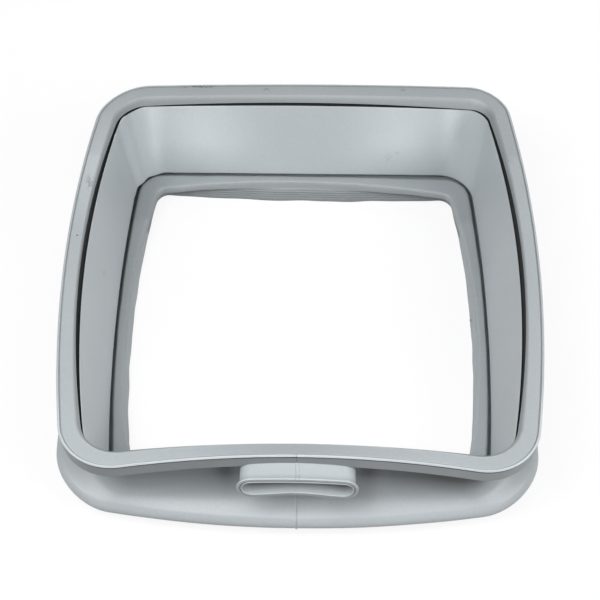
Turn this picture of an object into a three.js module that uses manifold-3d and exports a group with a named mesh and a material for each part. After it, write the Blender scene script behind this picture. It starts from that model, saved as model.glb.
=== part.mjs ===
// Door seal of a top-loading washing machine: one rubber moulding, shown relaxed as it
// lies on a table. Millimetres, +Z up, spout towards -Y, origin at the centre of the base.
//
// From the top down the moulding has a heavy rim with a groove on its inner side, a
// funnel wall, a fold that swells out all round as a bulge and comes back in to a rolled
// lip, and a short collar that it stands on. A flat spout leaves the front of the neck.
//
// Every height is a depth below the rim's top edge until the last step.

import * as THREE from 'three';
import { mergeVertices } from 'three/addons/utils/BufferGeometryUtils.js';
import Module from 'manifold-3d';

const wasm = await Module();
wasm.setup();

// Overall
const SEAL_HEIGHT = 103;
const CORNER_SEGMENTS = 7;
const SIDE_SEGMENTS = 14;

// Rim
const RIM_HALF_WIDTH = 159;
const RIM_HALF_DEPTH = 177.5;
const RIM_BACK_RADIUS = 34;
const RIM_BACK_RIGHT_TIGHTER = 7;
const RIM_BACK_SKEW = 1.3;
const RIM_FRONT_RADIUS = 38;
const RIM_SIDE_BOW = 17;
const RIM_BACK_BOW = 3.4;
const RIM_FRONT_BOW = -22;
const RIM_FRONT_SAG = 8.4;
const RIM_FRONT_CORNER_RISE = 1.5;
const RIM_WALL_HEIGHT = 14.4;
const RIM_WALL_ROUND = 1.2;
const FACE_WIDTH = 10;
const FACE_FALL = 1.5;
const FACE_ROUND = 1.8;
const FACE_FRONT_EXTRA = 4.2;
const FACE_FRONT_BOW = -18.3;
const FLASH_WIDTH = 0.8;
const FLASH_HEIGHT = 0.5;
const FLASH_ROOT = 0.3;

// Groove in the rim's inner side, and the edge that overhangs it
const GROOVE_TOP = 7;
const GROOVE_GAP = 4;
const GROOVE_FLOOR_IN = 6.2;
const GROOVE_ROUND = 1;
const EDGE_SIDE_IN = 12.6;
const EDGE_BACK_IN = 16.1;
const EDGE_FRONT_IN = 20.1;
const EDGE_RADIUS_LESS = 16;
const EDGE_SIDE_BOW = 18.6;
const EDGE_BACK_BOW = 5.2;
const EDGE_FRONT_BOW = -14.9;
const EDGE_RISE = 1.8;
const EDGE_THICKNESS = 0.8;

// Funnel wall
const WALL = 3;
const FUNNEL_TOP_IN = 13.9;
const FUNNEL_FRONT_EXTRA = 3.6;
const FUNNEL_FRONT_BOW = -17;
const FUNNEL_TOP_ROUND = 0.9;
const THROAT_DEPTH = 80;
const THROAT_HALF_WIDTH = 138;
const THROAT_BACK_DEPTH = 152.5;
const THROAT_FRONT_DEPTH = 147;
const THROAT_RADIUS = 25;
const THROAT_SIDE_BOW = 7.5;
const THROAT_FRONT_BOW = -4;
const THROAT_ROUND = 1.5;
const NECK_FILLET = 14;

// Bulge of the fold
const LEAF = 2.6;
const BULGE_HALF_WIDTH = 177.8;
const BULGE_BACK_DEPTH = 168;
const BULGE_FRONT_DEPTH = 153.8;
const BULGE_RADIUS = 42;
const BULGE_SIDE_BOW = 2.6;
const BULGE_BACK_BOW = 8;
const BULGE_FRONT_BOW = 18.5;
const BULGE_SHIFT = -1.8;
const BULGE_NOSE_DEPTH = 84;
const BULGE_NOSE_RADIUS = 7.5;

// Rolled lip at the inner end of the fold: its inner edge, then its crest
const LIP_HALF_WIDTH = 121;
const LIP_BACK_DEPTH = 134;
const LIP_BACK_SKEW = -1.8;
const LIP_FRONT_DEPTH = 131;
const LIP_RADIUS = 5;
const LIP_SIDE_BOW = 17;
const LIP_BACK_BOW = 12.3;
const LIP_FRONT_BOW = 8;
const LIP_SAG = 2.2;
const LIP_HEIGHT = 8.2;
const CREST_HALF_WIDTH = 133;
const CREST_BACK_DEPTH = 147;
const CREST_BACK_SKEW = -0.8;
const CREST_FRONT_DEPTH = 141.5;
const CREST_RADIUS = 16;
const CREST_SIDE_BOW = 8.5;
const CREST_BACK_BOW = 3;
const CREST_FRONT_BOW = -1;
const CREST_DEPTH = 81.4;
const CREST_ROUND = 2.5;

// Collar
const COLLAR_HALF_WIDTH = 123.5;
const COLLAR_BACK_DEPTH = 145.8;
const COLLAR_BACK_SKEW = -1.5;
const COLLAR_FRONT_DEPTH = 141;
const COLLAR_RADIUS = 10;
const COLLAR_SIDE_BOW = 11.5;
const COLLAR_BACK_BOW = -4;
const COLLAR_FRONT_BOW = -3;
const COLLAR_TOP_DEPTH = 93;
const COLLAR_SEAT = 3.7;
const COLLAR_ROUND = 0.7;
const COLLAR_TAPER = 2.2;
const COLLAR_RIBS = 2;
const RIB_PITCH = 3.4;
const RIB_RISE = 0.6;

// Spout
const SPOUT_HALF_WIDTH = 40.2;
const SPOUT_HALF_HEIGHT = 8.6;
const SPOUT_SHIFT = -0.6;
const SPOUT_LENGTH = 25.6;
const SPOUT_ROOT_IN_WALL = 2.3;
const SPOUT_WALL = 1.6;
const SPOUT_FLANGE = 2;
const SPOUT_FLANGE_THICKNESS = 1.5;
const SPOUT_FLANGE_TAPER = 0.8;
const SPOUT_DEPTH = 28;
const SPOUT_DROP = 0.8;
const SPOUT_TILT = 6;
const SPOUT_TOP_ARCH = 1.3;
const SPOUT_BOTTOM_DENT = 3.2;
const SPOUT_END_STEPS = 8;
const SPOUT_FLAT_STEPS = 8;
const BORE_OVERRUN = 4;

// A plan outline: a rounded rectangle whose sides bow outwards by the amounts given.
function outline(values) {
  return {
    halfWidth: 0,
    backDepth: 0,
    frontDepth: 0,
    backRadius: 0,
    frontRadius: 0,
    backRightTighter: 0,
    backSkew: 0,
    sideBow: 0,
    backBow: 0,
    frontBow: 0,
    frontSag: 0,
    frontCornerRise: 0,
    sag: 0,
    shift: 0,
    ...values,
  };
}

// The same outline moved outwards by a distance.
function grow(ring, out) {
  return {
    ...ring,
    halfWidth: ring.halfWidth + out,
    backDepth: ring.backDepth + out,
    frontDepth: ring.frontDepth + out,
    backRadius: ring.backRadius + out,
    frontRadius: ring.frontRadius + out,
  };
}

// An outline part of the way from one to another.
function between(from, to, share) {
  const ring = {};
  for (const key of Object.keys(from)) {
    ring[key] = from[key] + share * (to[key] - from[key]);
  }
  return ring;
}

const rim = outline({
  halfWidth: RIM_HALF_WIDTH,
  backDepth: RIM_HALF_DEPTH,
  frontDepth: RIM_HALF_DEPTH,
  backRadius: RIM_BACK_RADIUS,
  frontRadius: RIM_FRONT_RADIUS,
  backRightTighter: RIM_BACK_RIGHT_TIGHTER,
  backSkew: RIM_BACK_SKEW,
  sideBow: RIM_SIDE_BOW,
  backBow: RIM_BACK_BOW,
  frontBow: RIM_FRONT_BOW,
  frontSag: RIM_FRONT_SAG,
  frontCornerRise: RIM_FRONT_CORNER_RISE,
});
const faceEdge = {
  ...grow(rim, -FACE_WIDTH),
  frontDepth: RIM_HALF_DEPTH - FACE_WIDTH - FACE_FRONT_EXTRA,
  frontBow: FACE_FRONT_BOW,
};
const grooveEdge = {
  ...rim,
  halfWidth: RIM_HALF_WIDTH - EDGE_SIDE_IN,
  backDepth: RIM_HALF_DEPTH - EDGE_BACK_IN,
  frontDepth: RIM_HALF_DEPTH - EDGE_FRONT_IN,
  backRadius: RIM_BACK_RADIUS - EDGE_RADIUS_LESS,
  frontRadius: RIM_FRONT_RADIUS - EDGE_RADIUS_LESS,
  backSkew: 0,
  sideBow: EDGE_SIDE_BOW,
  backBow: EDGE_BACK_BOW,
  frontBow: EDGE_FRONT_BOW,
  sag: -EDGE_RISE,
};
const funnelTop = {
  ...grow(rim, -FUNNEL_TOP_IN),
  frontDepth: RIM_HALF_DEPTH - FUNNEL_TOP_IN - FUNNEL_FRONT_EXTRA,
  frontBow: FUNNEL_FRONT_BOW,
  backSkew: 0,
};
const throat = outline({
  halfWidth: THROAT_HALF_WIDTH,
  backDepth: THROAT_BACK_DEPTH,
  frontDepth: THROAT_FRONT_DEPTH,
  backRadius: THROAT_RADIUS,
  frontRadius: THROAT_RADIUS,
  sideBow: THROAT_SIDE_BOW,
  frontBow: THROAT_FRONT_BOW,
});
const bulge = outline({
  halfWidth: BULGE_HALF_WIDTH,
  backDepth: BULGE_BACK_DEPTH,
  frontDepth: BULGE_FRONT_DEPTH,
  backRadius: BULGE_RADIUS,
  frontRadius: BULGE_RADIUS,
  sideBow: BULGE_SIDE_BOW,
  backBow: BULGE_BACK_BOW,
  frontBow: BULGE_FRONT_BOW,
  shift: BULGE_SHIFT,
});
const lip = outline({
  halfWidth: LIP_HALF_WIDTH,
  backDepth: LIP_BACK_DEPTH,
  frontDepth: LIP_FRONT_DEPTH,
  backRadius: LIP_RADIUS,
  frontRadius: LIP_RADIUS,
  backSkew: LIP_BACK_SKEW,
  sideBow: LIP_SIDE_BOW,
  backBow: LIP_BACK_BOW,
  frontBow: LIP_FRONT_BOW,
  sag: LIP_SAG,
});
const crest = outline({
  halfWidth: CREST_HALF_WIDTH,
  backDepth: CREST_BACK_DEPTH,
  frontDepth: CREST_FRONT_DEPTH,
  backRadius: CREST_RADIUS,
  frontRadius: CREST_RADIUS,
  backSkew: CREST_BACK_SKEW,
  sideBow: CREST_SIDE_BOW,
  backBow: CREST_BACK_BOW,
  frontBow: CREST_FRONT_BOW,
  sag: LIP_SAG,
});
const collar = outline({
  halfWidth: COLLAR_HALF_WIDTH,
  backDepth: COLLAR_BACK_DEPTH,
  frontDepth: COLLAR_FRONT_DEPTH,
  backRadius: COLLAR_RADIUS,
  frontRadius: COLLAR_RADIUS,
  backSkew: COLLAR_BACK_SKEW,
  sideBow: COLLAR_SIDE_BOW,
  backBow: COLLAR_BACK_BOW,
  frontBow: COLLAR_FRONT_BOW,
});

// Position on a corner or a side of an outline, with its bow. Corners and sides are
// numbered anticlockwise from the back right corner.
function place(ring, quarter, onCorner, share) {
  const radii = [
    ring.backRadius - ring.backRightTighter,
    ring.backRadius,
    ring.frontRadius,
    ring.frontRadius,
  ];
  const centreAt = (q) => [
    (q === 0 || q === 3 ? 1 : -1) * (ring.halfWidth - radii[q]),
    q < 2 ? ring.backDepth - radii[q] : radii[q] - ring.frontDepth,
  ];
  const onArc = (q, turn) => {
    const angle = (q + turn) * Math.PI / 2;
    const [cx, cy] = centreAt(q);
    return [cx + radii[q] * Math.cos(angle), cy + radii[q] * Math.sin(angle)];
  };
  let x;
  let y;
  if (onCorner) {
    [x, y] = onArc(quarter, share);
  } else {
    const next = (quarter + 1) % 4;
    const start = onArc(quarter, 1);
    const end = onArc(next, 0);
    x = start[0] + share * (end[0] - start[0]);
    y = start[1] + share * (end[1] - start[1]);
  }
  const centreY = (ring.backDepth - ring.frontDepth) / 2;
  const halfDepth = (ring.backDepth + ring.frontDepth) / 2;
  const u = x / ring.halfWidth;
  const v = (y - centreY) / halfDepth;
  const side = Math.abs(u) ** 3 * (1 - v * v);
  const backPull = Math.max(v, 0) ** 3;
  const frontPull = Math.max(-v, 0) ** 3;
  const back = backPull * (1 - u * u);
  const front = frontPull * (1 - u * u);
  const corner = frontPull * u * u;
  return {
    x: x + Math.sign(x) * side * ring.sideBow + ring.shift,
    y: y + back * ring.backBow + backPull * u * ring.backSkew - front * ring.frontBow,
    drop: front * ring.frontSag - corner * ring.frontCornerRise + (side + back + front) * ring.sag,
  };
}

// The cross-section, as points each on its own outline and at a depth. It runs from the
// rim's outer edge over the top, down the inside and back up outside.
const corners = [];
function point(ring, out, depth, round = 0, steps = 0) {
  corners.push({ ring: { ...grow(ring, out), depth }, round, steps });
}

const grooveBottom = GROOVE_TOP + GROOVE_GAP;
const noseInner = BULGE_NOSE_RADIUS - LEAF;
const noseTop = BULGE_NOSE_DEPTH - BULGE_NOSE_RADIUS;
const noseBottom = BULGE_NOSE_DEPTH + BULGE_NOSE_RADIUS;
const lipFoot = CREST_DEPTH + LIP_HEIGHT;

// Rim top with its moulding flash, and the edge above the groove
point(rim, 0, -FLASH_HEIGHT);
point(rim, -FLASH_WIDTH, -FLASH_HEIGHT);
point(rim, -FLASH_WIDTH - FLASH_ROOT, 0);
point(faceEdge, 0, FACE_FALL, FACE_ROUND, 2);
point(grooveEdge, 0, GROOVE_TOP + EDGE_RISE - EDGE_THICKNESS);
point(grooveEdge, EDGE_THICKNESS, GROOVE_TOP + EDGE_RISE);
// Groove
point(rim, -GROOVE_FLOOR_IN, GROOVE_TOP, GROOVE_ROUND, 1);
point(rim, -GROOVE_FLOOR_IN, grooveBottom, GROOVE_ROUND, 1);
// Funnel wall, inside
point(funnelTop, 0, grooveBottom, FUNNEL_TOP_ROUND, 1);
point(between(funnelTop, throat, 0.5), 0, (grooveBottom + THROAT_DEPTH) / 2);
point(throat, 0, THROAT_DEPTH, THROAT_ROUND, 2);
// Inside of the bulge
point(bulge, -LEAF, noseTop + LEAF, noseInner, 2);
point(bulge, -LEAF, noseBottom - LEAF, noseInner, 2);
// Rolled lip
point({ ...crest, sag: 0 }, LEAF, noseBottom - LEAF, CREST_ROUND, 1);
point(crest, 0, CREST_DEPTH, CREST_ROUND, 2);
point(lip, 0, CREST_DEPTH, CREST_ROUND, 3);
point(lip, 0, lipFoot, CREST_ROUND, 1);
// Collar, inside with its ribs, seat and outside
point(collar, COLLAR_TAPER, COLLAR_TOP_DEPTH);
for (let rib = 1; rib <= COLLAR_RIBS; rib += 1) {
  const inner = COLLAR_TAPER * (1 - rib / COLLAR_RIBS);
  point(collar, inner, COLLAR_TOP_DEPTH + rib * RIB_PITCH - RIB_RISE);
  point(collar, inner + RIB_RISE, COLLAR_TOP_DEPTH + rib * RIB_PITCH);
}
point(collar, 0, SEAL_HEIGHT, COLLAR_ROUND, 1);
point(collar, COLLAR_SEAT, SEAL_HEIGHT, COLLAR_ROUND, 1);
point(collar, COLLAR_SEAT + COLLAR_TAPER, COLLAR_TOP_DEPTH + LEAF);
point(collar, COLLAR_SEAT + 2 * COLLAR_TAPER, COLLAR_TOP_DEPTH);
// Outside of the bulge
const NOSE_STEPS = 6;
for (let step = 0; step <= NOSE_STEPS; step += 1) {
  const angle = step * Math.PI / NOSE_STEPS;
  const out = BULGE_NOSE_RADIUS * (Math.sin(angle) - 1);
  point(bulge, out, BULGE_NOSE_DEPTH + BULGE_NOSE_RADIUS * Math.cos(angle));
}
// Outside of the neck, with a wide fillet above the bulge
point(throat, WALL, noseTop, NECK_FILLET, 4);
point(between(throat, funnelTop, 0.5), WALL, (noseTop - NECK_FILLET + RIM_WALL_HEIGHT) / 2);
// Underside of the rim and its outer wall
point(funnelTop, WALL, RIM_WALL_HEIGHT, RIM_WALL_ROUND, 1);
point(rim, 0, RIM_WALL_HEIGHT, RIM_WALL_ROUND, 1);

// A section point part of the way from one to another, at most half way
function towards(from, to, distance) {
  const span = Math.hypot(to.halfWidth - from.halfWidth, to.depth - from.depth);
  return between(from, to, Math.min(distance / span, 0.48));
}

// The section with its corners rounded
const section = [];
corners.forEach(({ ring, round, steps }, i) => {
  if (steps === 0) {
    section.push(ring);
    return;
  }
  const start = towards(ring, corners.at(i - 1).ring, round);
  const end = towards(ring, corners[(i + 1) % corners.length].ring, round);
  for (let step = 0; step <= steps; step += 1) {
    const share = step / steps;
    section.push(between(between(start, ring, share), between(ring, end, share), share));
  }
});

// Closed surface through rings of points, where ring after ring has the same number of
// points. wrap joins the last ring to the first; otherwise both ends are capped.
function loft(rings, wrap) {
  const count = rings[0].length;
  const positions = rings.flat(2);
  const index = [];
  const last = wrap ? rings.length : rings.length - 1;
  for (let k = 0; k < last; k += 1) {
    const here = k * count;
    const there = ((k + 1) % rings.length) * count;
    for (let i = 0; i < count; i += 1) {
      const j = (i + 1) % count;
      index.push(here + i, there + i, there + j);
      index.push(here + i, there + j, here + j);
    }
  }
  if (!wrap) {
    for (const [ring, flip] of [[0, false], [rings.length - 1, true]]) {
      const centre = [0, 0, 0];
      for (const p of rings[ring]) {
        centre[0] += p[0] / count;
        centre[1] += p[1] / count;
        centre[2] += p[2] / count;
      }
      const middle = positions.length / 3;
      positions.push(...centre);
      for (let i = 0; i < count; i += 1) {
        const a = ring * count + i;
        const b = ring * count + ((i + 1) % count);
        index.push(middle, flip ? b : a, flip ? a : b);
      }
    }
  }
  const geometry = new THREE.BufferGeometry();
  geometry.setAttribute('position', new THREE.Float32BufferAttribute(positions, 3));
  geometry.setIndex(index);
  return geometry;
}

function toSolid(geometry) {
  const merged = mergeVertices(geometry, 1e-4);
  return new wasm.Manifold(new wasm.Mesh({
    numProp: 3,
    vertProperties: new Float32Array(merged.attributes.position.array),
    triVerts: new Uint32Array(merged.index.array),
  }));
}

function toGeometry(solid) {
  const mesh = solid.getMesh();
  const geometry = new THREE.BufferGeometry();
  geometry.setAttribute('position', new THREE.BufferAttribute(mesh.vertProperties, 3));
  geometry.setIndex(new THREE.BufferAttribute(mesh.triVerts, 1));
  return geometry;
}

// The moulding's body, swept round the seal
const stations = [];
for (let quarter = 0; quarter < 4; quarter += 1) {
  for (let i = 0; i < CORNER_SEGMENTS; i += 1) {
    stations.push([quarter, true, i / CORNER_SEGMENTS]);
  }
  for (let i = 0; i < SIDE_SEGMENTS; i += 1) {
    stations.push([quarter, false, i / SIDE_SEGMENTS]);
  }
}
const bodyRings = stations.map(([quarter, onCorner, share]) => section.map((ring) => {
  const spot = place(ring, quarter, onCorner, share);
  return [spot.x, spot.y, SEAL_HEIGHT - ring.depth - spot.drop];
}));
const body = toSolid(loft(bodyRings, true));

// One cross-section of the spout, a flattened oval with a dent below its middle
function spoutRing(y, depth, tilt, out) {
  const straight = SPOUT_HALF_WIDTH - SPOUT_HALF_HEIGHT;
  const radius = SPOUT_HALF_HEIGHT + out;
  const across = [];
  for (const side of [1, -1]) {
    for (let i = 0; i <= SPOUT_END_STEPS; i += 1) {
      const angle = i * Math.PI / SPOUT_END_STEPS - Math.PI / 2;
      const reach = straight + radius * Math.cos(angle);
      across.push([side * reach, side * radius * Math.sin(angle)]);
    }
    for (let i = 1; i < SPOUT_FLAT_STEPS; i += 1) {
      across.push([side * straight * (1 - 2 * i / SPOUT_FLAT_STEPS), side * radius]);
    }
  }
  const lean = tilt * Math.PI / 180;
  return across.map(([x, up]) => {
    const share = Math.max(0, 1 - (x / straight) ** 2);
    const lift = up > 0 ? share * SPOUT_TOP_ARCH : share * share * SPOUT_BOTTOM_DENT;
    const height = up + lift;
    return [
      x + SPOUT_SHIFT,
      y + height * Math.sin(lean),
      SEAL_HEIGHT - depth + height * Math.cos(lean),
    ];
  });
}

// The spout starts inside the front of the wall
const spoutShare = (SPOUT_DEPTH - grooveBottom) / (THROAT_DEPTH - grooveBottom);
const wallAtSpout = between(funnelTop, throat, spoutShare);
const rootY = -(wallAtSpout.frontDepth + wallAtSpout.frontBow + SPOUT_ROOT_IN_WALL);
const mouthY = rootY - SPOUT_LENGTH;
const flangeY = mouthY + SPOUT_FLANGE_THICKNESS;
const spout = toSolid(loft([
  spoutRing(mouthY, SPOUT_DEPTH, SPOUT_TILT, SPOUT_FLANGE),
  spoutRing(flangeY, SPOUT_DEPTH, SPOUT_TILT, SPOUT_FLANGE),
  spoutRing(flangeY + SPOUT_FLANGE_TAPER, SPOUT_DEPTH, SPOUT_TILT, 0),
  spoutRing(rootY, SPOUT_DEPTH + SPOUT_DROP, 0, 0),
], false));
const bore = toSolid(loft([
  spoutRing(mouthY - BORE_OVERRUN, SPOUT_DEPTH, SPOUT_TILT, -SPOUT_WALL),
  spoutRing(rootY + WALL + BORE_OVERRUN, SPOUT_DEPTH + SPOUT_DROP, 0, -SPOUT_WALL),
], false));
const moulding = toGeometry(body.add(spout).subtract(bore));

moulding.computeBoundingBox();
const box = moulding.boundingBox;
moulding.translate(-(box.min.x + box.max.x) / 2, -(box.min.y + box.max.y) / 2, -box.min.z);
moulding.computeVertexNormals();

const rubber = new THREE.MeshStandardMaterial({
  color: 0xa7aeb0,
  roughness: 0.6,
  metalness: 0,
});

const doorSeal = new THREE.Mesh(moulding, rubber);
doorSeal.name = 'door_seal';

const seal = new THREE.Group();
seal.add(doorSeal);

export default seal;
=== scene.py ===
"""Looks of a relaxed rubber door seal for a top-loading washing machine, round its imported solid."""

import math
from collections import namedtuple

import bpy
import numpy as np
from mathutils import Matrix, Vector, noise


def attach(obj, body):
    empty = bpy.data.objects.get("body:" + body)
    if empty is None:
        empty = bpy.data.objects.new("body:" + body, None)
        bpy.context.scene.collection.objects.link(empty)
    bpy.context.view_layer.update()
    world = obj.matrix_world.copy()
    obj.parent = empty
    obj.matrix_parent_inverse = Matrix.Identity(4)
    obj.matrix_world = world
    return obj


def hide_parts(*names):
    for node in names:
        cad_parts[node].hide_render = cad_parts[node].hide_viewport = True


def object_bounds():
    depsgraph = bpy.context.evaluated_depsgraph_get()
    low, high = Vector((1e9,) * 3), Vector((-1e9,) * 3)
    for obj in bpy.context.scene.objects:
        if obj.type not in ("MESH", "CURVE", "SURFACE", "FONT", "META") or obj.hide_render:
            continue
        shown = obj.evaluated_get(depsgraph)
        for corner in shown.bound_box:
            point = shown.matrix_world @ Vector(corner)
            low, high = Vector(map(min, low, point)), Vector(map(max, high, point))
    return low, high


bl_info = {
    "name": "Washing Machine Door Seal",
    "version": (1, 0, 0),
    "blender": (4, 5, 0),
    "location": "View3D > Sidebar > Door Seal",
    "description": "Builds a rubber bellows seal with a flat spout, and a plain studio round it",
    "category": "Object",
}

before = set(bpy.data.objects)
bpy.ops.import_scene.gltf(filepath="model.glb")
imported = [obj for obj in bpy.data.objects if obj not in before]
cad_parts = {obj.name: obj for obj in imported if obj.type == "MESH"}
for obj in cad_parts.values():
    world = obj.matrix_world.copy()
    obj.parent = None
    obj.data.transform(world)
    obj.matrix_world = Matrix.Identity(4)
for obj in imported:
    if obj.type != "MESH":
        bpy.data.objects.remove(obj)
CAD_LOW, CAD_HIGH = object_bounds()

MM = 0.001
NODE = "door_seal"
BODY = "root"

# The values that make a plan outline, a rounded rectangle with bowed sides, and its depth.
VALUES = (
    "half_width back_depth front_depth back_radius front_radius right_tighter back_skew side_bow "
    "back_bow front_bow front_sag corner_rise sag shift depth"
).split()
AT = {name: i for i, name in enumerate(VALUES)}
GROWS_OUT = [AT[name] for name in VALUES[:5]]

# How finely the seal is divided: round its corners, along its sides, beside its seam and across.
CORNER_STEPS = 22
SIDE_STEPS = 56
SEAM_STEPS = (0.0, 0.0009, 0.0018, 0.0028, 0.0042, 0.0062, 0.009)
SEAM_CLEARANCE = 0.003
LONGEST_EDGE = 3.8
FINE_RADIUS = 0.6
WIDE_RADIUS = 6
FINE_STEPS = 2
ARC_STEPS = 5
WIDE_STEPS = 10
SHARP_ANGLE = math.radians(40)

# Depths of the section below the rim's top edge, in millimetres.
FLASH_TOP = -0.6
GROOVE_TOP = 7
CREST_DEPTH = 80.6
NOSE_DEPTH = 84
COLLAR_TOP = 93

# The mould's seam down the front, in millimetres.
SEAM_X = 0.2
SEAM_HALF = 0.28

# The spout, in millimetres and degrees; its droop is a slope, down to its right.
SPOUT_DEPTH = 28
SPOUT_ROOT_DROP = 0.8
SPOUT_ROOT_IN_WALL = 2.3
SPOUT_TILT = 6
SPOUT_SHIFT = -0.6
SPOUT_DROOP = 0.02
SPOUT_TOP_ARCH = 1.3
SPOUT_BOTTOM_DENT = 3.2
SPOUT_END_STEPS = 24
SPOUT_FLAT_STEPS = 150
SPOUT_RUN_STEPS = 6

# How much darker each zone of the section is drawn, as painted shade, deepest in the groove, the
# crack, the gap under the flash and the edge; below nothing is paler, a painted highlight.
ZONE_PAINTED_SHADE = {
    "groove": 0.93,
    "edge": 0.4,
    "crack": 0.4,
    "gap": 0.85,
    "rim": 0.16,
    "wall": 0.14,
    "flash": -0.05,
    "funnel": -0.05,
    "lip": 0.12,
    "collar": 0.12,
}

Mark = namedtuple("Mark", "centre reach darkness grain")

# Dark marks, most rubbed or dirty: centre and reach in millimetres, darkness, and size of the grain.
MARKS = {
    "long scuff on the rim's back edge": Mark((-81, 173, 102.8), (13, 1.3, 1.6), 0.95, 1.6),
    "short scuff beside it": Mark((-95, 172.2, 102.5), (4, 1.0, 1.6), 0.7, 1.2),
    "left smudge on the rim's back": Mark((-29, 171, 102), (4, 2.2, 2), 0.3, 1.5),
    "right smudge on the rim's back": Mark((81, 172, 102), (4, 2.2, 2), 0.25, 1.5),
    "black speck on the rim's left": Mark((-167.5, 21.3, 102.5), (1.0, 1.2, 1.5), 0.9, 3.0),
    "rubbed patch on the rim's left": Mark((-162.5, 73, 102.5), (5, 11, 3), 0.34, 2.2),
    "nick in the rim's far left corner": Mark((-125, 158, 102.5), (2.5, 1.4, 2), 0.45, 1.0),
    "low smudge on the funnel's back": Mark((72, 154, 41), (6, 5, 7), 0.2, 2.0),
    "smear above it": Mark((79, 154, 46), (3, 5, 3), 0.22, 2.0),
    "smudge on the funnel's left": Mark((-149.4, 19, 58), (5, 5, 5), 0.25, 1.6),
    "speck on the rim's front": Mark((-73, -166.6, 100), (3, 1, 1), 0.6, 1.0),
    # A dark ragged mark just under the flash, beside the seam
    "dark ragged mark at the seam under the rim": Mark((-2, -160, 92.9), (7, 1.6, 1.3), 0.95, 1.3),
}


def length(name, description, millimetres):
    """A size that a user would change."""
    return bpy.props.FloatProperty(
        name=name,
        description=description,
        default=millimetres * MM,
        unit="LENGTH",
        subtype="DISTANCE",
        precision=4,
    )


def colour(name, description, sRGB):
    """A colour that a user would change, kept as an sRGB hex value."""
    return bpy.props.StringProperty(name=name, description=description, default=sRGB)


class DoorSealSizes(bpy.types.PropertyGroup):
    """The seal's sizes that a user would change"""

    height: length("Height", "Collar seat to the rim's top edge", 103)
    rim_half_width: length("Rim half width", "Centre to the rim's side at its corners", 159)
    rim_half_depth: length("Rim half depth", "Centre to the rim's back at its corners", 177.5)
    rim_back_radius: length("Rim back corner", "Radius of the rim's back corners", 34)
    rim_front_radius: length("Rim front corner", "Radius of the rim's front corners", 38)
    rim_side_bow: length("Rim side bow", "How far the rim's sides bow outwards", 17)
    rim_front_dip: length("Rim front dip", "How far the rim's front bows inwards", 22)
    rim_front_sag: length("Rim front sag", "How far the middle of the rim's front sags", 8.4)
    rim_wall_height: length("Rim wall", "Height of the rim's outer wall", 14.4)
    face_width: length("Rim face", "Width of the rim's top face", 10)
    groove_gap: length("Groove", "Height of the groove in the rim's inner side", 4)
    wall: length("Wall", "Thickness of the funnel wall", 3)
    neck_fillet: length("Neck fillet", "Radius between the neck and the fold's bulge", 21)
    throat_depth: length("Throat depth", "Rim's top edge down to the throat", 80)
    throat_half_width: length("Throat half width", "Centre to the throat's side", 138)
    leaf: length("Leaf", "Thickness of the fold's leaves", 2.6)
    bulge_half_width: length("Bulge half width", "Centre to the side of the fold's bulge", 177.8)
    bulge_nose_radius: length("Bulge radius", "Radius of the fold's outer edge", 7.5)
    lip_half_width: length("Lip half width", "Centre to the side of the lip's inner edge", 121)
    collar_half_width: length("Collar half width", "Centre to the collar's side", 123.5)
    spout_half_width: length("Spout half width", "Half the flat spout's outside width", 40.2)
    spout_half_height: length("Spout half height", "Half the flat spout's outside height", 8.6)
    spout_length: length("Spout length", "Wall to the spout's mouth", 25.6)
    spout_wall: length("Spout wall", "Thickness of the spout's wall", 1.6)
    spout_flange: length("Spout flange", "How far the flange stands out at the mouth", 2)
    seam_height: length("Seam height", "How far the mould's seam stands out", 0.55)


class DoorSealColours(bpy.types.PropertyGroup):
    """The colours that a user would change"""

    rubber: colour("Rubber", "Grey of the moulded rubber", "#A9AFB2")
    scuff: colour("Scuff", "Dark rubbed marks", "#22282B")
    floor: colour("Floor", "Studio floor", "#F4F5F5")


def linear(hex_value):
    """Linear colour with alpha of an sRGB hex value."""
    parts = [int(hex_value[i : i + 2], 16) / 255 for i in (1, 3, 5)]
    return [p / 12.92 if p <= 0.04045 else ((p + 0.055) / 1.055) ** 2.4 for p in parts] + [1.0]


def add_node(tree, kind, settings=None, inputs=None, links=None):
    """A shader node with its settings, input values and incoming links."""
    node = tree.nodes.new(kind)
    for name, value in (settings or {}).items():
        setattr(node, name, value)
    for name, value in (inputs or {}).items():
        node.inputs[name].default_value = value
    for name, source in (links or {}).items():
        tree.links.new(source, node.inputs[name])
    return node


def outline(**values):
    """A plan outline as a row of its values, zero where not given."""
    return np.array([float(values.get(name, 0)) for name in VALUES])


def changed(ring, **values):
    """The outline with some values replaced."""
    ring = ring.copy()
    for name, value in values.items():
        ring[AT[name]] = value
    return ring


def grown(ring, out):
    """The outline moved outwards."""
    ring = ring.copy()
    ring[GROWS_OUT] += out
    return ring


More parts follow.
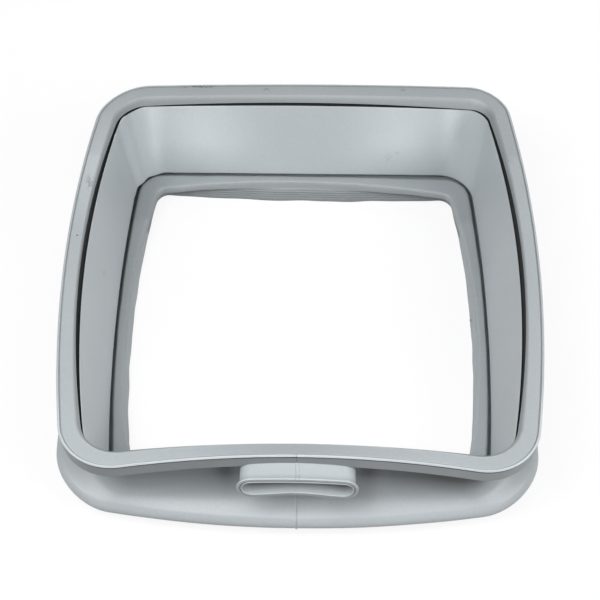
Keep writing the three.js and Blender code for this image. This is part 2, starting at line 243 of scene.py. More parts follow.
def outlines(sizes):
    """The sizes in millimetres, and the plan outlines, each named for the edge that follows it."""
    size = {name: getattr(sizes, name) / MM for name in sizes.__annotations__}
    half_width, half_depth = size["rim_half_width"], size["rim_half_depth"]
    rim = outline(
        half_width=half_width,
        back_depth=half_depth,
        front_depth=half_depth,
        back_radius=size["rim_back_radius"],
        front_radius=size["rim_front_radius"],
        right_tighter=7,
        back_skew=1.3,
        side_bow=size["rim_side_bow"],
        back_bow=3.4,
        front_bow=-size["rim_front_dip"],
        front_sag=size["rim_front_sag"],
        corner_rise=1.5,
    )
    face_front_extra = 4.2
    face = changed(
        grown(rim, -size["face_width"]),
        front_depth=half_depth - size["face_width"] - face_front_extra,
        front_bow=-18.3,
    )
    edge_radius_less = 16
    edge = changed(
        rim,
        half_width=half_width - 12.6,
        back_depth=half_depth - 16.1,
        front_depth=half_depth - 20.1,
        back_radius=size["rim_back_radius"] - edge_radius_less,
        front_radius=size["rim_front_radius"] - edge_radius_less,
        back_skew=0,
        side_bow=18.6,
        back_bow=5.2,
        front_bow=-14.9,
        sag=-1.8,
    )
    funnel_in, funnel_front_extra = 13.9, 3.6
    funnel = changed(
        grown(rim, -funnel_in),
        front_depth=half_depth - funnel_in - funnel_front_extra,
        front_bow=-17,
        back_skew=0,
    )
    throat = outline(
        half_width=size["throat_half_width"],
        back_depth=152.5,
        front_depth=147,
        back_radius=25,
        front_radius=25,
        side_bow=7.5,
        front_bow=-4,
    )
    bulge = outline(
        half_width=size["bulge_half_width"],
        back_depth=168,
        front_depth=153.8,
        back_radius=42,
        front_radius=42,
        side_bow=2.6,
        back_bow=8,
        front_bow=18.5,
        shift=-1.8,
    )
    lip = outline(
        half_width=size["lip_half_width"],
        back_depth=134,
        front_depth=131,
        back_radius=5,
        front_radius=5,
        back_skew=-1.8,
        side_bow=17,
        back_bow=12.3,
        front_bow=8,
        sag=2.2,
    )
    lip_width = 14.6
    crest = outline(
        half_width=size["lip_half_width"] + lip_width,
        back_depth=150,
        front_depth=141.5,
        back_radius=16,
        front_radius=16,
        back_skew=-0.8,
        side_bow=8.5,
        back_bow=3,
        front_bow=-1,
        sag=2.2,
    )
    collar = outline(
        half_width=size["collar_half_width"],
        back_depth=145.8,
        front_depth=141,
        back_radius=10,
        front_radius=10,
        back_skew=-1.5,
        side_bow=11.5,
        back_bow=-4,
        front_bow=-3,
    )
    return size, rim, face, edge, funnel, throat, bulge, lip, crest, collar


def seal_section(sizes):
    """The section's corners, from the rim's outer edge over the top, down inside and back up.

    Each corner is an outline at a depth, the radius that rounds it, and the zone it belongs to.
    """
    size, rim, face, edge, funnel, throat, bulge, lip, crest, collar = outlines(sizes)
    height, wall, leaf, nose = (size[n] for n in ("height", "wall", "leaf", "bulge_nose_radius"))
    rim_wall = size["rim_wall_height"]
    nose_top, nose_bottom = NOSE_DEPTH - nose, NOSE_DEPTH + nose
    points = []

    def add(zone, ring, out, depth, radius=0.0):
        points.append((changed(grown(ring, out), depth=depth), radius, zone))

    # The flash on the rim's outer edge, the crack behind it and the rim's face
    add("flash", rim, out=0.6, depth=0.4, radius=0.12)
    add("flash", rim, out=-0.3, depth=FLASH_TOP, radius=0.12)
    add("flash", rim, out=-0.7, depth=FLASH_TOP, radius=0.1)
    add("crack", rim, out=-0.95, depth=0.45, radius=0.1)
    add("crack", rim, out=-1.7, depth=0.4, radius=0.1)
    add("rim", rim, out=-2.0, depth=0.1, radius=0.2)
    add("rim", face, out=0, depth=1.5, radius=0.9)

    # The groove, undercut behind the rim's inner edge and the funnel's top
    groove_back = 6.2
    groove_bottom = GROOVE_TOP + size["groove_gap"]
    groove_floor = groove_bottom + 1.9
    add("edge", edge, out=0, depth=GROOVE_TOP + 1.0, radius=0.4)
    add("groove", edge, out=0.8, depth=GROOVE_TOP + 1.8, radius=0.3)
    add("groove", rim, out=-groove_back, depth=GROOVE_TOP, radius=1.4)
    add("groove", rim, out=-groove_back, depth=groove_bottom, radius=1.4)
    add("groove", funnel, out=2.2, depth=groove_floor, radius=0.6)
    add("groove", funnel, out=0.7, depth=groove_floor, radius=0.5)
    add("groove", funnel, out=0.6, depth=groove_bottom - 0.2, radius=0.2)

    # The funnel, and the fold's inside
    add("funnel", funnel, out=0.2, depth=groove_bottom - 0.5, radius=0.2)
    add("funnel", funnel, out=-0.1, depth=groove_bottom - 0.1, radius=0.3)
    add("funnel", throat, out=0, depth=size["throat_depth"], radius=1.6)
    add("inside", bulge, out=-leaf, depth=nose_top + leaf, radius=nose - leaf)
    add("inside", bulge, out=-leaf, depth=nose_bottom - leaf, radius=nose - leaf)

    # The rolled lip
    lip_height = 8.2
    add("lip", changed(crest, sag=0), out=leaf, depth=nose_bottom - leaf, radius=2.5)
    add("lip", crest, out=0, depth=CREST_DEPTH, radius=2.5)
    add("lip", lip, out=0, depth=CREST_DEPTH, radius=3.2)
    add("lip", lip, out=0, depth=CREST_DEPTH + lip_height, radius=2.5)

    # The collar: its ribs inside, its seat, and its outside up to the fold
    ribs, rib_pitch, rib_rise, collar_taper, collar_wall = 4, 2.1, 0.9, 2.2, 3.7
    for rib in range(ribs):
        depth = COLLAR_TOP + rib_pitch * rib
        taper = collar_taper * (1 - rib / ribs)
        add("collar", collar, out=taper + rib_rise, depth=depth, radius=0.3)
        add("collar", collar, out=taper, depth=depth + 0.7, radius=0.3)
        add("collar", collar, out=taper, depth=depth + 1.2, radius=0.3)
    add("collar", collar, out=0, depth=height, radius=0.8)
    add("collar", collar, out=collar_wall, depth=height, radius=0.8)
    add("under", collar, out=collar_wall + collar_taper, depth=COLLAR_TOP + leaf, radius=2)
    add("under", collar, out=collar_wall + 2 * collar_taper, depth=COLLAR_TOP, radius=2)

    # The bulge, the neck and the rim's wall, up to the gap under the flash
    nose_steps = 6
    for step in range(nose_steps):
        angle = step * math.pi / nose_steps
        out = nose * (math.sin(angle) - 1)
        add("bulge", bulge, out=out, depth=NOSE_DEPTH + nose * math.cos(angle), radius=1.9)
    add("neck", throat, out=wall, depth=nose_top - 6.5, radius=size["neck_fillet"])
    add("neck", funnel, out=wall, depth=rim_wall, radius=1.2)
    add("wall", rim, out=0, depth=rim_wall, radius=1.2)
    add("wall", rim, out=-0.1, depth=3.3)
    add("gap", rim, out=-0.1, depth=2.7)
    add("gap", rim, out=-0.6, depth=1.6, radius=0.15)
    add("gap", rim, out=-0.6, depth=0.9, radius=0.1)
    add("flash", rim, out=0.6, depth=0.75, radius=0.12)
    return points


def arc_steps(radius):
    """How many steps go round a corner of this radius."""
    if radius <= FINE_RADIUS:
        return FINE_STEPS
    return ARC_STEPS if radius < WIDE_RADIUS else WIDE_STEPS


def rounded(points):
    """The closed section with each corner rounded by its own radius and long edges divided."""
    made = []
    for i, (here, radius, zone) in enumerate(points):
        if radius <= 0:
            made.append((here, zone))
            continue
        before, after = points[i - 1][0], points[(i + 1) % len(points)][0]
        # A wide corner may take most of its edges, a small one less than half of each.
        most = 0.48 if radius < WIDE_RADIUS else 0.85
        ends = []
        for other in (before, after):
            span = np.hypot(*(other - here)[[AT["half_width"], AT["depth"]]])
            ends.append(here + (other - here) * min(radius / span, most))
        steps = arc_steps(radius)
        for step in range(steps + 1):
            t = step / steps
            bend = (1 - t) ** 2 * ends[0] + 2 * t * (1 - t) * here + t * t * ends[1]
            made.append((bend, zone))
    rings, zones = [], []
    for i, (here, zone) in enumerate(made):
        after, next_zone = made[(i + 1) % len(made)]
        span = np.hypot(*(after - here)[[AT["half_width"], AT["depth"]]])
        parts = max(1, math.ceil(span / LONGEST_EDGE))
        for part in range(parts):
            rings.append(here + (after - here) * part / parts)
            zones.append(zone if part == 0 else next_zone)
    return np.array(rings), zones


def stations():
    """Places round the seal: quarter, whether on its corner, and the share along it."""
    made = []
    front_side, middle = 2, 0.5
    seam = sorted({sign * step for step in SEAM_STEPS for sign in (-1, 1)})
    for quarter in range(4):
        made += [(quarter, True, i / CORNER_STEPS) for i in range(CORNER_STEPS)]
        shares = [i / SIDE_STEPS for i in range(SIDE_STEPS)]
        if quarter == front_side:
            clear = SEAM_STEPS[-1] + SEAM_CLEARANCE
            shares = [s for s in shares if abs(s - middle) > clear]
            shares += [middle + s for s in seam]
        made += [(quarter, False, s) for s in sorted(shares)]
    return made


def place(rings, quarter, on_corner, share):
    """Where each outline runs at one station round the seal, as x, y and z from the rim's top."""
    half_width, back_depth, front_depth, back_radius, front_radius, tighter, skew, side_bow = (
        rings[:, AT[name]] for name in VALUES[:8]
    )
    radii = [back_radius - tighter, back_radius, front_radius, front_radius]

    def on_arc(corner, turn):
        angle = (corner + turn) * math.pi / 2
        radius = radii[corner]
        side = 1 if corner in (0, 3) else -1
        centre_y = back_depth - radius if corner < 2 else radius - front_depth
        across = side * (half_width - radius) + radius * math.cos(angle)
        return across, centre_y + radius * math.sin(angle)

    if on_corner:
        x, y = on_arc(quarter, share)
    else:
        start_x, start_y = on_arc(quarter, 1)
        end_x, end_y = on_arc((quarter + 1) % 4, 0)
        x = start_x + share * (end_x - start_x)
        y = start_y + share * (end_y - start_y)
    u = x / half_width
    v = (y - (back_depth - front_depth) / 2) / ((back_depth + front_depth) / 2)
    side = np.abs(u) ** 3 * (1 - v * v)
    back_pull, front_pull = np.maximum(v, 0) ** 3, np.maximum(-v, 0) ** 3
    back, front = back_pull * (1 - u * u), front_pull * (1 - u * u)
    drop = front * rings[:, AT["front_sag"]] - front_pull * u * u * rings[:, AT["corner_rise"]]
    drop = drop + (side + back + front) * rings[:, AT["sag"]]
    y = y + back * rings[:, AT["back_bow"]] + back_pull * u * skew
    return np.stack(
        [
            x + np.sign(x) * side * side_bow + rings[:, AT["shift"]],
            y - front * rings[:, AT["front_bow"]],
            -rings[:, AT["depth"]] - drop,
        ],
        axis=1,
    )


def frame_shift(rows):
    """From the shape's own centre to the frame's origin."""
    middle = (rows.min((0, 1)) + rows.max((0, 1))) / 2
    cad_middle = [(low + high) / 2 / MM for low, high in zip(CAD_LOW, CAD_HIGH)]
    return np.array([cad_middle[0] - middle[0], cad_middle[1] - middle[1], 0.0])


def moulding_rows(sizes):
    """Points of the seal's surface, station by station, in the frame, with each point's zone."""
    rings, zones = rounded(seal_section(sizes))
    rows = np.array([place(rings, *station) for station in stations()])
    rows[:, :, 2] += sizes.height / MM
    return rows + frame_shift(rows), zones


def surface_normals(rows):
    """Outward unit normals of the surface through rows of points."""
    along = np.roll(rows, -1, 0) - np.roll(rows, 1, 0)
    down = np.roll(rows, -1, 1) - np.roll(rows, 1, 1)
    normals = np.cross(down, along)
    return normals / np.maximum(np.linalg.norm(normals, axis=2, keepdims=True), 1e-9)


def mask(zones, *names):
    """One for the section points of these zones, zero for the others."""
    return np.array([1.0 if zone in names else 0.0 for zone in zones])


def hump(values, centre, reach):
    """A smooth hump, one at its centre and fading over its reach."""
    return np.exp(-(((values - centre) / reach) ** 2))


def ramp(values, start, end):
    """Nothing before the start, rising evenly to one at the end."""
    return np.clip((values - start) / (end - start), 0, 1)


def soft_noise(rows, lump, seed):
    """Smooth noise from -1 to 1 at each point, with lumps of about the given millimetres."""
    flat = rows.reshape(-1, 3) / lump
    made = [noise.noise(Vector((p[0] + seed, p[1] - seed, p[2]))) for p in flat]
    return np.array(made).reshape(rows.shape[:2])


def relaxed(rows, zones, seam_height):
    """The surface with its seam, ragged flash, soft creases and the unevenness of loose rubber."""
    x, y = rows[:, :, 0], rows[:, :, 1]
    seam = seam_height * hump(x, SEAM_X, SEAM_HALF * math.sqrt(2)) * (y < 0)
    seam = seam * mask(zones, "wall", "neck", "bulge", "flash")
    loose = 0.16 * soft_noise(rows, lump=34, seed=3.7)
    loose = loose * mask(zones, "rim", "wall", "neck", "bulge", "funnel")
    wavy = 0.7 * soft_noise(rows * [1, 1, 0.3], lump=21, seed=8.1) * mask(zones, "collar")
    wavy = wavy + 0.45 * soft_noise(rows, lump=26, seed=5.3) * mask(zones, "lip", "inside")
    # Creases that fan out in the funnel's far left corner
    corner_x, corner_y, corner_reach = -143.0, 146.0, 21.0
    fan_x, fan_y, folds, crease = -112, 118, 13, 0.9
    near = hump(np.hypot(x - corner_x, y - corner_y), 0, corner_reach)
    around = np.arctan2(y - fan_y, fan_x - x)
    creases = crease * near * np.cos(around * folds) * mask(zones, "funnel")
    move = seam + loose + wavy + creases
    made = rows + surface_normals(rows) * move[:, :, None]
    ragged = 0.14 * soft_noise(rows, lump=2.3, seed=1.9)
    ragged = ragged + 0.1 * soft_noise(rows, lump=9, seed=6.4)
    made[:, :, 2] += ragged * mask(zones, "flash")
    made[:, :, 2] = np.maximum(made[:, :, 2], 0)
    return made


def painted_shade_at(rows, zones):
    """How much shade is painted at each point, and below nothing where a highlight is painted paler.

    A hump is given by its centre and reach, and a ramp by its start and end, in millimetres.
    """
    x, y, z = rows[:, :, 0], rows[:, :, 1], rows[:, :, 2]
    front, back = y < 0, y > 100
    near_edge = y < -130
    rim, wall, flash, gap, neck = (mask(zones, n) for n in ("rim", "wall", "flash", "gap", "neck"))
    funnel, lip, collar = (mask(zones, n) for n in ("funnel", "lip", "collar"))
    painted_shade = np.tile([ZONE_PAINTED_SHADE.get(zone, 0.0) for zone in zones], (len(rows), 1))

    # The neck, with painted shade under the rim's overhang, deeper towards the rim, most beside the
    # spout and at the front's right
    high = ramp(z, 27, 54)
    beside = hump(np.abs(x), 50, 8) + 0.7 * hump(x, 112, 26)
    painted_shade = painted_shade + neck * high * (0.44 + 0.34 * beside * front)
    painted_shade = painted_shade + 0.22 * neck * high * front * ramp(x, 50, 70)
    painted_shade = painted_shade + 0.14 * neck * ramp(z, 48, 64) * front

    # The rim, its wall and its flash: painted shade on the rim's back, the middle of its front edge
    # and the front wall, a painted shadow line under the flash's front, and painted highlights on the
    # rim's left and along the flash's near side
    painted_shade = painted_shade + 0.08 * rim * back + 0.16 * rim * near_edge * hump(x, 0, 60)
    painted_shade = painted_shade - 0.18 * rim * hump(x, -155, 30) * hump(y, 95, 45)
    painted_shade = painted_shade + 0.2 * wall * (y < -100) + 0.12 * wall * near_edge * ramp(x, -30, -60)
    painted_shade = painted_shade + 0.32 * gap * front * (np.abs(x + 22) < 24)
    painted_shade = painted_shade - 0.18 * flash * ramp(y, -110, -130)

    # The funnel's far wall, with painted highlights beside its corners
    painted_highlight = hump(np.abs(x), 84, 36) * hump(y, 152, 22)
    painted_highlight = painted_highlight + 0.8 * hump(np.abs(x), 121, 7) * (y > 120)
    painted_shade = painted_shade - 0.3 * funnel * painted_highlight * ramp(z, 25, 55)

    # The lip and the collar, with painted shade on the lip's back and left and on the collar's back
    painted_shade = painted_shade + 0.08 * lip * back + 0.16 * lip * ramp(x, -100, -125)
    painted_shade = painted_shade + 0.34 * collar * back

    # A painted dark line along the raised seam at the front
    seam = 0.14 * (np.abs(x - SEAM_X) < 0.35) * front * mask(zones, "wall", "neck", "bulge")
    painted_shade = np.where(seam > 0, np.maximum(painted_shade, seam), painted_shade)
    return np.clip(painted_shade, -1.0, 0.95)


def new_mesh(name, vertices, faces):
    """A mesh object whose points are in millimetres."""
    mesh = bpy.data.meshes.new(name)
    mesh.from_pydata((np.asarray(vertices) * MM).tolist(), [], faces)
    mesh.validate()
    piece = bpy.data.objects.new(name, mesh)
    bpy.context.scene.collection.objects.link(piece)
    return piece


def tube_faces(count, rows, closed):
    """Quads between rows of as many points, the last row joined to the first if closed."""
    faces = []
    for row in range(rows if closed else rows - 1):
        here, there = row * count, (row + 1) % rows * count
        for i in range(count):
            j = (i + 1) % count
            faces.append((here + i, there + i, there + j, here + j))
    return faces


def keep_painted_shade(piece, painted_shade):
    """Store how much shade is painted at each point of the piece, below nothing a painted highlight,
    for its material.
    """
    stored = piece.data.attributes.new("painted_shade", "FLOAT", "POINT")
    stored.data.foreach_set("value", painted_shade)


def dress(piece):
    """Smooth shading with crisp real edges, the rubber, and a place on the frame."""
    piece.data.shade_smooth()
    piece.data.set_sharp_from_angle(angle=SHARP_ANGLE)
    piece.data.materials.clear()
    piece.data.materials.append(rubber_material())
    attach(piece, BODY)


def spout_ring(sizes, y, depth, tilt, out, ragged):
    """One cross-section of the spout, a flattened oval with a dent below its middle."""
    radius = sizes.spout_half_height / MM + out
    straight = (sizes.spout_half_width - sizes.spout_half_height) / MM
    across = []
    for side in (1, -1):
        for i in range(SPOUT_END_STEPS + 1):
            angle = i * math.pi / SPOUT_END_STEPS - math.pi / 2
            reach = straight + radius * math.cos(angle)
            across.append((side * reach, side * radius * math.sin(angle)))
        for i in range(1, SPOUT_FLAT_STEPS):
            across.append((side * straight * (1 - 2 * i / SPOUT_FLAT_STEPS), side * radius))
    lean = math.radians(tilt)
    # A double seam on top, and the teeth that the trimmed mouth has under its middle
    seam_off = 1.1
    teeth_x, teeth_reach, teeth_per_mm = -1, 11, 4.6
    ring = []
    for x, up in across:
        share = max(0.0, 1 - (x / straight) ** 2)
        if up > 0:
            height = up + SPOUT_TOP_ARCH * share
            if out >= 0:
                height += sizes.seam_height / MM * math.exp(-(((abs(x) - seam_off) / SEAM_HALF) ** 2))
        else:
            height = up + SPOUT_BOTTOM_DENT * share * share
            near_middle = max(0.0, 1 - abs(x - teeth_x) / teeth_reach)
            height += ragged * math.sin(x * teeth_per_mm) * near_middle
        drop = depth + SPOUT_DROOP * x
        ring.append((x + SPOUT_SHIFT, y + height * math.sin(lean), height * math.cos(lean) - drop))
    return ring


def spout_profile(sizes, passage):
    """The spout's cross-sections: y, depth, tilt, distance outwards, raggedness and painted shade."""
    size, _, _, _, funnel, throat, *_ = outlines(sizes)
    wall, thickness, flange = (size[n] for n in ("wall", "spout_wall", "spout_flange"))
    groove_bottom = GROOVE_TOP + size["groove_gap"]
    share = (SPOUT_DEPTH - groove_bottom) / (size["throat_depth"] - groove_bottom)
    front = funnel + share * (throat - funnel)
    root = -(front[AT["front_depth"]] + front[AT["front_bow"]] + SPOUT_ROOT_IN_WALL)
    root_depth = SPOUT_DEPTH + SPOUT_ROOT_DROP
    mouth = root - size["spout_length"]
    if passage:
        past = 4
        return [
            (mouth - past, SPOUT_DEPTH, SPOUT_TILT, -thickness, 0, 0),
            (root + wall + past, root_depth, 0, -thickness, 0, 0),
        ]
    # From the mouth's inner edge over its stepped face to the flange's back, with painted dark lines
    # in the step, painted shade on the face and behind the flange, and painted highlights on the
    # inner edge and the flange's edge
    flange_back = 2.3
    around_mouth = (
        (0.5, -thickness, 0.1, 0.2),
        (-0.2, 0.1 - thickness, 0.28, -0.1),
        (-0.3, 0.4 - thickness, 0.28, -0.15),
        (-0.2, 0.7 - thickness, 0.25, 0),
        (0.5, 0.9 - thickness, 0.1, 0.85),
        (0.5, 1.3 - thickness, 0, 0.85),
        (0.05, 1.5 - thickness, 0, 0.25),
        (0.05, flange - 0.4, 0, 0.22),
        (0.15, flange - 0.1, 0, 0),
        (0.4, flange, 0, -0.1),
        (1.2, flange, 0, -0.05),
        (1.5, flange - 0.25, 0, 0.1),
        (1.7, 0.5, 0, 0.3),
        (flange_back, 0, 0, 0.2),
    )
    made = [
        (mouth + y, SPOUT_DEPTH, SPOUT_TILT, out, ragged, painted_shade)
        for y, out, ragged, painted_shade in around_mouth
    ]
    # Back along the outside to the root, and forwards again along the passage, with shade painted
    # deeper inside
    run = [i / SPOUT_RUN_STEPS for i in range(1, SPOUT_RUN_STEPS + 1)]
    for out, shares in ((0, run), (-thickness, run[-2::-1])):
        for along in shares:
            y = mouth + flange_back + along * (root - mouth - flange_back)
            deeper = 0.1 + min(2.4 * max(0, along - 0.12), 0.7)
            painted_shade = 0 if out == 0 else deeper
            depth = SPOUT_DEPTH + SPOUT_ROOT_DROP * along
            made.append((y, depth, SPOUT_TILT * (1 - along), out, 0, painted_shade))
        if out == 0:
            made.append((root, root_depth, 0, -thickness, 0, 0.7))
    return made


def spout_piece(context, passage):
    """The spout as a closed shape: its passage alone, or its wall with the flange."""
    sizes = context.scene.door_seal_sizes
    rings, _ = rounded(seal_section(sizes))
    plain = np.array([place(rings, *station) for station in stations()])
    shift = frame_shift(plain) + [0, 0, sizes.height / MM]
    profile = spout_profile(sizes, passage)
    sections = [spout_ring(sizes, *step[:5]) for step in profile]
    count = len(sections[0])
    faces = tube_faces(count, len(sections), closed=not passage)
    if passage:
        faces.append(tuple(range(count)))
        faces.append(tuple(reversed(range(count, 2 * count))))
    name = "spout_passage" if passage else "spout"
    piece = new_mesh(name, np.array(sections).reshape(-1, 3) + shift, faces)
    # The painted shade of each cross-section, on all its points
    keep_painted_shade(piece, np.repeat([step[5] for step in profile], count))
    return piece


def rubber_material():
    """Moulded EPDM rubber: a matt blue-grey whose dull skin gives broad pale highlights."""
    name = "Moulded EPDM rubber"
    if name in bpy.data.materials:
        return bpy.data.materials[name]
    colours = bpy.context.scene.door_seal_colours
    material = bpy.data.materials.new(name)
    material.use_nodes = True
    tree = material.node_tree
    tree.nodes.clear()
    where = add_node(tree, "ShaderNodeTexCoord").outputs["Object"]
    # The rubber's tone with its painted shade and highlights, under the real scuffs and smudges
    shaded_and_marked = add_node(
        tree, "ShaderNodeMix", {"data_type": "RGBA"}, {"B": linear(colours.scuff)},
        {"Factor": marks_mask(tree, where), "A": rubber_tone(tree, where, colours.rubber)},
    )
    # The mould's blasted skin: its pits are drawn coarser than they are, so that they show.
    pit_size = 0.6667
    skin = add_node(
        tree, "ShaderNodeTexNoise", None, {"Scale": 1 / (pit_size * MM), "Detail": 2.0},
        {"Vector": where},
    )
    bump = add_node(
        tree, "ShaderNodeBump", None, {"Strength": 0.12, "Distance": 0.0002},
        {"Height": skin.outputs["Fac"]},
    )
    shader = add_node(
        tree, "ShaderNodeBsdfPrincipled", None, {"Roughness": 0.4, "IOR": 1.5},
        {"Base Color": shaded_and_marked.outputs["Result"], "Normal": bump.outputs["Normal"]},
    )
    add_node(tree, "ShaderNodeOutputMaterial", links={"Surface": shader.outputs["BSDF"]})
    return material


def rubber_tone(tree, where, rubber):
    """The rubber's grey, faintly clouded and speckled, darkened where shade is painted and paler
    where highlights are painted.
    """
    # The specks of dust are drawn coarser than they are, so that they show.
    cloud_size, speck_size = 71.43, 1.923
    shades = []
    for size, detail, low, high in ((cloud_size, 4.0, 0.93, 1.06), (speck_size, 3.0, 0.93, 1.07)):
        pattern = add_node(
            tree, "ShaderNodeTexNoise", None, {"Scale": 1 / (size * MM), "Detail": detail},
            {"Vector": where},
        )
        shade = add_node(
            tree, "ShaderNodeMapRange", None, {"To Min": low, "To Max": high},
            {"Value": pattern.outputs["Fac"]},
        )
        shades.append(shade.outputs["Result"])
    both = add_node(
        tree, "ShaderNodeMath", {"operation": "MULTIPLY"}, None, {0: shades[0], 1: shades[1]}
    )
    # Painted shade darkens the grey, and below nothing a painted highlight makes it paler
    painted_shade = add_node(tree, "ShaderNodeAttribute", {"attribute_name": "painted_shade"}).outputs["Fac"]
    unshaded = add_node(tree, "ShaderNodeMath", {"operation": "SUBTRACT"}, {0: 1.0}, {1: painted_shade})
    tint = add_node(
        tree, "ShaderNodeMath", {"operation": "MULTIPLY"}, None,
        {0: both.outputs["Value"], 1: unshaded.outputs["Value"]},
    )
    return add_node(
        tree, "ShaderNodeVectorMath", {"operation": "SCALE"}, {0: linear(rubber)[:3]},
        {"Scale": tint.outputs["Value"]},
    ).outputs["Vector"]


def marks_mask(tree, where):
    """How strongly the darkest mark at a point covers the rubber."""
    covered = None
    for mark in MARKS.values():
        spot = mark_mask(tree, where, mark)
        if covered is not None:
            spot = add_node(
                tree, "ShaderNodeMath", {"operation": "MAXIMUM"}, None, {0: covered, 1: spot}
            ).outputs["Value"]
        covered = spot
    return covered


def mark_mask(tree, where, mark):
    """How strongly one mark covers the rubber at a point: a soft ellipsoid broken by grain."""
    scaled = add_node(
        tree, "ShaderNodeMapping", {"vector_type": "TEXTURE"},
        {"Location": [c * MM for c in mark.centre], "Scale": [r * MM for r in mark.reach]},
        {"Vector": where},
    )
    distance = add_node(
        tree, "ShaderNodeVectorMath", {"operation": "LENGTH"}, None,
        {"Vector": scaled.outputs["Vector"]},
    )
    fade = add_node(
        tree, "ShaderNodeMapRange", {"interpolation_type": "SMOOTHSTEP"},
        {"From Min": 1.0, "From Max": 0.35, "To Max": mark.darkness},
        {"Value": distance.outputs["Value"]},
    )
    crumbs = add_node(
        tree, "ShaderNodeTexNoise", None, {"Scale": 1 / (mark.grain * MM), "Detail": 3.0},
        {"Vector": where},
    )
    broken = add_node(
        tree, "ShaderNodeMapRange", {"interpolation_type": "SMOOTHSTEP"},
        {"From Min": 0.44, "From Max": 0.56}, {"Value": crumbs.outputs["Fac"]},
    )
    return add_node(
        tree, "ShaderNodeMath", {"operation": "MULTIPLY"}, None,
        {0: fade.outputs["Result"], 1: broken.outputs["Result"]},
    ).outputs["Value"]


class DOORSEAL_OT_moulding(bpy.types.Operator):
    """Build the seal's moulding, from rim to collar, with the spout's passage cut through its wall"""

    bl_idname = "doorseal.moulding"
    bl_label = "Moulding"

    def execute(self, context):
        sizes = context.scene.door_seal_sizes
        rows, zones = moulding_rows(sizes)
        count = rows.shape[1]
        vertices = relaxed(rows, zones, sizes.seam_height / MM).reshape(-1, 3)
        body = new_mesh("seal_moulding", vertices, tube_faces(count, len(rows), closed=True))
        # The painted shade and painted highlights of each point
        keep_painted_shade(body, painted_shade_at(rows, zones).ravel())
        cutter = spout_piece(context, passage=True)
        cut = body.modifiers.new("Spout passage", "BOOLEAN")
        cut.operation = "DIFFERENCE"
        cut.object = cutter
        cut.solver = "EXACT"
        graph = context.evaluated_depsgraph_get()
        finished = bpy.data.meshes.new_from_object(body.evaluated_get(graph))
        if not finished.polygons:
            raise RuntimeError("the spout's passage could not be cut")
        body.modifiers.clear()
        body.data = finished
        bpy.data.objects.remove(cutter)
        dress(body)
        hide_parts(NODE)
        return {"FINISHED"}


class DOORSEAL_OT_spout(bpy.types.Operator):
    """Build the flat flanged spout at the front"""

    bl_idname = "doorseal.spout"
    bl_label = "Spout"

    def execute(self, context):
        dress(spout_piece(context, passage=False))
        return {"FINISHED"}


class DOORSEAL_OT_nubs(bpy.types.Operator):
    """Build the small nubs that the mould's vents leave at the seam's foot and on the collar"""

    bl_idname = "doorseal.nubs"
    bl_label = "Vent nubs"

    def execute(self, context):
        nubs = (("seam_nub", (0.3, -176.2, 17.0), 1.1), ("collar_nub", (136.4, 13.9, 5.0), 0.8))
        steps = 12
        for name, centre, radius in nubs:
            points = []
            for i in range(1, steps):
                polar = math.pi * i / steps
                ring, up = radius * math.sin(polar), radius * math.cos(polar)
                for j in range(steps):
                    turn = 2 * math.pi * j / steps
                    points.append((ring * math.cos(turn), ring * math.sin(turn), up))
            faces = tube_faces(steps, steps - 1, closed=False)
            faces += [tuple(reversed(range(steps))), tuple(range(len(points) - steps, len(points)))]
            dress(new_mesh(name, np.array(points) + centre, faces))
        return {"FINISHED"}


class DOORSEAL_OT_stage(bpy.types.Operator):
    """Build the floor, lamps, world and camera"""

    bl_idname = "doorseal.stage"
    bl_label = "Studio"

    def execute(self, context):
        make_floor()
        make_world(context.scene)
        make_lamps()
        make_camera(context.scene)
        context.scene.view_settings.view_transform = "Standard"
        return {"FINISHED"}


def make_floor():
    """White seamless paper: matt, lifted to white for the camera, with the seal's soft shadow."""
    half = 4.0
    mesh = bpy.data.meshes.new("floor")
    mesh.from_pydata(
        [(-half, -half, 0), (half, -half, 0), (half, half, 0), (-half, half, 0)], [], [(0, 1, 2, 3)]
    )
    floor = bpy.data.objects.new("floor", mesh)
    bpy.context.scene.collection.objects.link(floor)
    material = bpy.data.materials.new("White seamless paper")
    material.use_nodes = True
    tree = material.node_tree
    tree.nodes.clear()
    paper = linear(bpy.context.scene.door_seal_colours.floor)
    matt = add_node(tree, "ShaderNodeBsdfDiffuse", inputs={"Color": paper})
    seen = add_node(tree, "ShaderNodeLightPath").outputs["Is Camera Ray"]
    # The glow is full white for the camera only, and dimmer as light on the seal.
    bright = add_node(
        tree, "ShaderNodeMapRange", None, {"To Min": 0.45, "To Max": 1.0}, {"Value": seen}
    )
    glow = add_node(tree, "ShaderNodeEmission", links={"Strength": bright.outputs["Result"]})
    share = add_node(
        tree, "ShaderNodeMapRange", None, {"To Min": 0.67, "To Max": 0.85}, {"Value": seen}
    )
    both = add_node(
        tree, "ShaderNodeMixShader", None, None,
        {0: share.outputs["Result"], 1: matt.outputs["BSDF"], 2: glow.outputs["Emission"]},
    )
    add_node(tree, "ShaderNodeOutputMaterial", links={"Surface": both.outputs["Shader"]})
    floor.data.materials.append(material)


def make_world(scene):
    """An even white surround, full white where the camera sees it and dimmer as a light."""
    world = bpy.data.worlds.new("Studio")
    scene.world = world
    world.use_nodes = True
    tree = world.node_tree
    tree.nodes.clear()
    path = add_node(tree, "ShaderNodeLightPath")
    seen = add_node(
        tree, "ShaderNodeMath", {"operation": "MAXIMUM"}, None,
        {0: path.outputs["Is Camera Ray"], 1: path.outputs["Is Transmission Ray"]},
    )
    strength = add_node(
        tree, "ShaderNodeMapRange", None, {"To Min": 0.08, "To Max": 1.0},
        {"Value": seen.outputs["Value"]},
    )
    surround = add_node(
        tree, "ShaderNodeBackground", None, {"Color": (1, 1, 1, 1)},
        {"Strength": strength.outputs["Result"]},
    )
    add_node(tree, "ShaderNodeOutputWorld", links={"Surface": surround.outputs["Background"]})


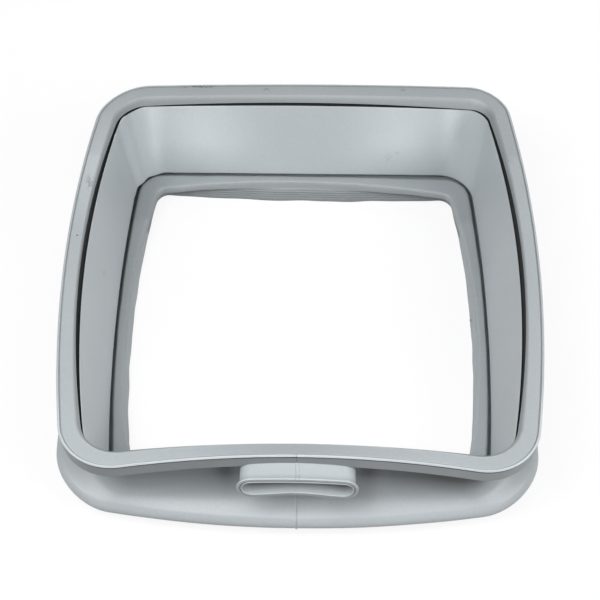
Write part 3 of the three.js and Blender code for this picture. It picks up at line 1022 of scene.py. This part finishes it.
def make_lamps():
    """Soft boxes left, right and above the front, one close above the spout, one behind."""
    target = Vector((0, 0, 0.05))
    for name, spot, size, power in (
        ("Left soft box", (-0.88, -0.36, 0.79), 0.5, 5.0),
        ("Right soft box", (0.86, -0.4, 0.79), 0.7, 9.6),
        ("Upper soft box", (-0.4, -0.4, 1.11), 0.5, 6.2),
        ("Front soft box", (0, -0.3, 0.62), 0.35, 1.2),
        ("Back soft box", (0.15, 1.0, 0.27), 0.6, 6.5),
    ):
        lamp = bpy.data.lights.new(name, "AREA")
        lamp.shape = "SQUARE"
        lamp.size = size
        lamp.energy = power
        holder = bpy.data.objects.new(name, lamp)
        holder.location = spot
        holder.rotation_euler = (target - Vector(spot)).to_track_quat("-Z", "Y").to_euler()
        bpy.context.scene.collection.objects.link(holder)


def make_camera(scene):
    """The photograph's viewpoint, with the small lens shift of its framing."""
    image = 600
    distance_px = 1516.23
    mm_per_px = 0.741
    elevation = math.radians(54)
    turn = 0.01346
    centre_px = (301.68, 264.63)
    # The point at the rim's height that the photograph was measured from
    origin = Vector((1.8, -4.36, 103.0)) * MM
    back = Vector((
        math.cos(elevation) * math.sin(turn),
        -math.cos(elevation) * math.cos(turn),
        math.sin(elevation),
    ))
    data = bpy.data.cameras.new("Camera")
    data.sensor_width = 36
    data.lens = data.sensor_width * distance_px / image
    data.shift_x = (image / 2 - centre_px[0]) / image
    data.shift_y = (centre_px[1] - image / 2) / image
    camera = bpy.data.objects.new("Camera", data)
    camera.location = origin + back * distance_px * mm_per_px * MM
    camera.rotation_euler = (-back).to_track_quat("-Z", "Y").to_euler()
    scene.collection.objects.link(camera)
    scene.camera = camera


OPERATORS = (DOORSEAL_OT_moulding, DOORSEAL_OT_spout, DOORSEAL_OT_nubs, DOORSEAL_OT_stage)


class DOORSEAL_PT_panel(bpy.types.Panel):
    """Sizes, colours and build steps of the door seal"""

    bl_label = "Door Seal"
    bl_idname = "DOORSEAL_PT_panel"
    bl_space_type = "VIEW_3D"
    bl_region_type = "UI"
    bl_category = "Door Seal"

    def draw(self, context):
        for group in (context.scene.door_seal_sizes, context.scene.door_seal_colours):
            box = self.layout.box()
            for name in group.__annotations__:
                box.prop(group, name)
        for operator in OPERATORS:
            self.layout.operator(operator.bl_idname)


CLASSES = (DoorSealSizes, DoorSealColours, *OPERATORS, DOORSEAL_PT_panel)


def register():
    for item in CLASSES:
        bpy.utils.register_class(item)
    bpy.types.Scene.door_seal_sizes = bpy.props.PointerProperty(type=DoorSealSizes)
    bpy.types.Scene.door_seal_colours = bpy.props.PointerProperty(type=DoorSealColours)


def unregister():
    del bpy.types.Scene.door_seal_colours
    del bpy.types.Scene.door_seal_sizes
    for item in reversed(CLASSES):
        bpy.utils.unregister_class(item)


def main():
    register()
    for operator in OPERATORS:
        area, name = operator.bl_idname.split(".")
        getattr(getattr(bpy.ops, area), name)()


if __name__ == "__main__":
    main()
